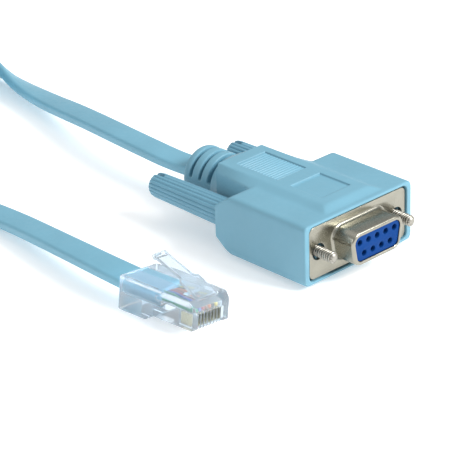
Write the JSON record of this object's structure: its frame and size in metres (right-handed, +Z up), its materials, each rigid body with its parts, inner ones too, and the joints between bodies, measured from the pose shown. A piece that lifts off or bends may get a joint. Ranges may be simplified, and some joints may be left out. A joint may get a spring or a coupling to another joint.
{
  "type": "serial console cable",
  "caption": "Flat serial console cable with a moulded D connector and thumbscrews at one end and a clear latching modular plug at the other, spare length coiled and tied.",
  "frame": {"origin": "under the middle of the D connector, thumbscrew ends to shell front, on the surface that it lies on", "axes": "+X the way the D connector mates, +Y to the right thumbscrew, +Z up through the wide side of the D"},
  "size_m": [0.2259, 0.0848, 0.0164],
  "materials": {
    "hood": "satin moulded",
    "shell": "nickel plated",
    "insulator": "satin",
    "contacts": "gold plated",
    "screws": "nickel plated",
    "grips": "satin moulded",
    "cable": "soft jacket",
    "tie": "woven hook and loop",
    "clear_plastic": "clear",
    "core_blue": "extruded insulation",
    "core_orange": "extruded insulation",
    "core_black": "extruded insulation",
    "core_red": "extruded insulation",
    "core_green": "extruded insulation",
    "core_yellow": "extruded insulation",
    "core_brown": "extruded insulation",
    "core_grey": "extruded insulation"
  },
  "bodies": {
    "base": {"hood": "hood", "front_shell": "shell", "insulator": "insulator", "socket_1": "contacts", "socket_2": "contacts", "socket_3": "contacts", "socket_4": "contacts", "socket_5": "contacts", "socket_6": "contacts", "socket_7": "contacts", "socket_8": "contacts", "socket_9": "contacts", "cable_run_serial": "cable", "cable_coil": "cable", "cable_run_plug": "cable", "coil_tie": "tie", "plug_body": "clear_plastic", "plug_contact_1": "contacts", "plug_contact_2": "contacts", "plug_contact_3": "contacts", "plug_contact_4": "contacts", "plug_contact_5": "contacts", "plug_contact_6": "contacts", "plug_contact_7": "contacts", "plug_contact_8": "contacts", "wire_1": "core_green", "wire_2": "core_blue", "wire_3": "core_red", "wire_4": "core_brown", "wire_5": "core_orange", "wire_6": "core_black", "wire_7": "core_yellow", "wire_8": "core_grey"},
    "thumbscrew_left": {"screw_left": "screws", "grip_left": "grips"},
    "thumbscrew_right": {"screw_right": "screws", "grip_right": "grips"},
    "latch": {"plug_latch": "clear_plastic"}
  },
  "joints": [
    {"name": "turn_left_thumbscrew", "type": "hinge", "parent": "base", "child": "thumbscrew_left", "pos_m": [-0.0047, -0.01249, 0.0082], "axis": [1, 0, 0], "continuous": true},
    {"name": "turn_right_thumbscrew", "type": "hinge", "parent": "base", "child": "thumbscrew_right", "pos_m": [-0.0047, 0.01249, 0.0082], "axis": [1, 0, 0], "continuous": true},
    {"name": "press_latch", "type": "hinge", "parent": "base", "child": "latch", "pos_m": [0.02083, -0.04406, 0.00851], "axis": [-0.0674, 0.9887, -0.134], "range_deg": [-15, 0], "stiffness_Nm_per_rad": 0.02}
  ]
}
